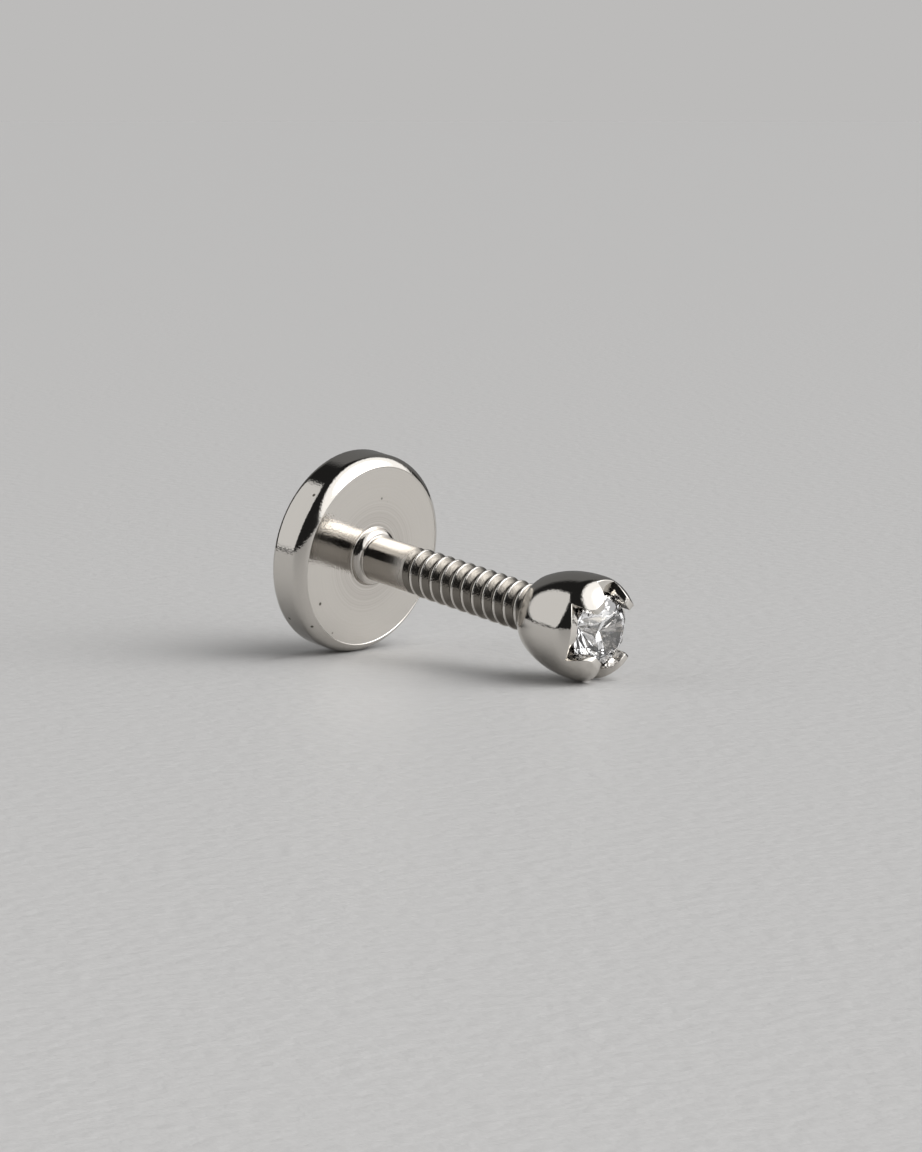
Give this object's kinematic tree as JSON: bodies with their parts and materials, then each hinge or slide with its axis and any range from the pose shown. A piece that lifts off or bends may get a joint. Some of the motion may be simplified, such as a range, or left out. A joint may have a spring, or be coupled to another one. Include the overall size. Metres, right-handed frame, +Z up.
{
  "type": "flat-back piercing stud",
  "caption": "Flat-back piercing stud: polished round disc on a short screw-threaded post, with a screw-on bulb-shaped pronged head that holds a clear round brilliant-cut stone.",
  "frame": {"origin": "on the surface that the stud lies on, under the middle of its box", "axes": "+X from the disc towards the stone head, +Z up; the post slopes down to the head by about 9 degrees"},
  "size_m": [0.0082, 0.0044, 0.0044],
  "materials": {
    "polished_steel": "mirror polished, satin on the thread",
    "clear_stone": "cut and polished facets"
  },
  "bodies": {
    "post": {"flat_back_post": "polished_steel"},
    "head": {"prong_setting": "polished_steel", "brilliant_stone": "clear_stone"}
  },
  "joints": [
    {"name": "head_turn", "type": "hinge", "parent": "post", "child": "head", "pos_m": [0.00216, 0, 0.0013], "axis": [0.9869, 0, -0.1616], "range_deg": [0, 765]}
  ]
}
